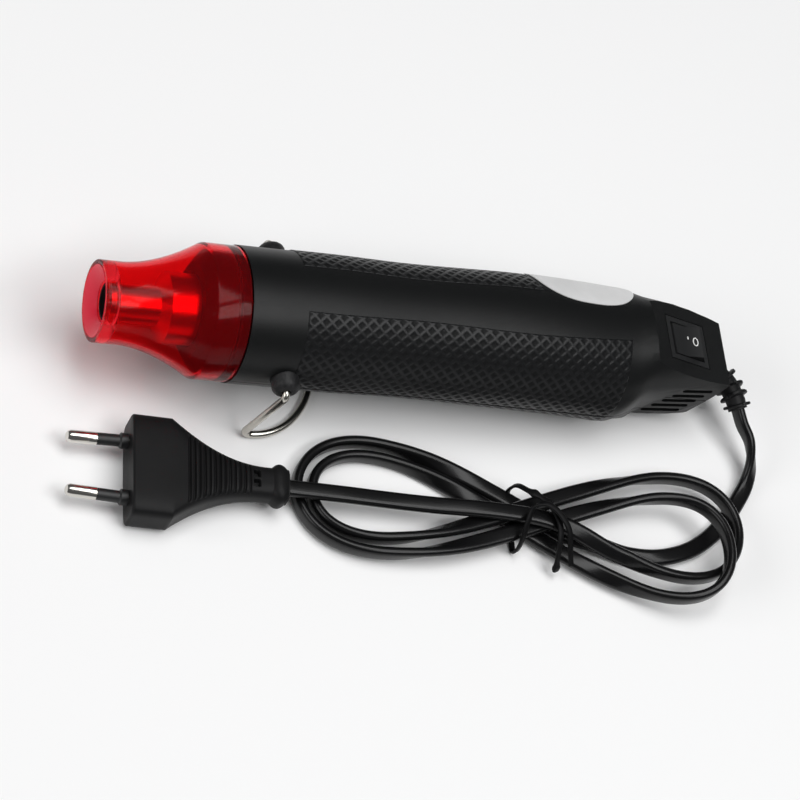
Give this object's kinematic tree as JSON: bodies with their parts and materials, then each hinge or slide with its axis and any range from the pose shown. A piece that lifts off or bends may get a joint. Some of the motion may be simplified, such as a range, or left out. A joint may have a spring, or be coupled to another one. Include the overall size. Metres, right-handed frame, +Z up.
{
  "type": "hot air tool",
  "caption": "Mini hot air tool with a tinted nozzle cover, a grip barrel on a wire stand, a rocker switch and a flat mains cord tied in a figure of eight.",
  "frame": {"origin": "on the table, below the middle of the tool's length", "axes": "+X from the nozzle toward the cord end, +Y to the label's side, +Z up"},
  "size_m": [0.2371, 0.1098, 0.0514],
  "materials": {
    "housing": "fine satin grain",
    "tinted_cover": "clear red tint, polished",
    "steel": "bright drawn metal",
    "nickel": "polished nickel plate",
    "mica": "layered mica sheet",
    "ceramic": "fired, dull",
    "resistance_wire": "oxidised",
    "gloss_black": "smooth moulded",
    "motor_can": "zinc plated",
    "fan": "moulded",
    "board": "lacquered",
    "brass": "plain",
    "label": "bare white film",
    "cord": "soft, slightly shiny",
    "wire_insulation": "smooth"
  },
  "bodies": {
    "tool": {"upper_shell": "housing", "lower_shell": "housing", "pivot_boss_left": "housing", "pivot_boss_right": "housing", "shell_screw_1": "steel", "shell_screw_2": "steel", "shell_screw_3": "steel", "shell_screw_4": "steel", "nozzle_cover": "tinted_cover", "air_tube": "steel", "front_bulkhead": "gloss_black", "mica_sleeve": "mica", "heater_former": "ceramic", "heating_coil": "resistance_wire", "thermal_cutout": "steel", "motor_body": "motor_can", "motor_mount": "fan", "rectifier_board": "board", "diode_1": "gloss_black", "diode_2": "gloss_black", "diode_3": "gloss_black", "diode_4": "gloss_black", "switch_body": "gloss_black", "switch_terminal_1": "brass", "switch_terminal_2": "brass", "lead_wire_1": "wire_insulation", "lead_wire_2": "wire_insulation", "label": "label", "strain_relief": "cord", "cord_lead": "cord", "cord_hank": "cord", "cord_plug_run": "cord", "twist_tie": "cord", "plug_body": "cord", "plug_sleeve_left": "gloss_black", "plug_sleeve_right": "gloss_black", "plug_pin_left": "nickel", "plug_pin_right": "nickel"},
    "stand": {"wire_stand": "steel"},
    "rocker": {"switch_rocker": "gloss_black"},
    "fan": {"fan_impeller": "fan", "motor_shaft": "steel"}
  },
  "joints": [
    {"name": "stand_swing", "type": "hinge", "parent": "tool", "child": "stand", "pos_m": [-0.05438, 0, 0.0293], "axis": [0, 1, 0], "range_deg": [-10, 80]},
    {"name": "switch_rock", "type": "hinge", "parent": "tool", "child": "rocker", "pos_m": [0.08321, 0, 0.03137], "axis": [0, 1, 0], "range_deg": [0, 22]},
    {"name": "fan_spin", "type": "hinge", "parent": "tool", "child": "fan", "pos_m": [-0.03939, 0, 0.02866], "axis": [0.9991, 0, -0.0428], "continuous": true}
  ]
}
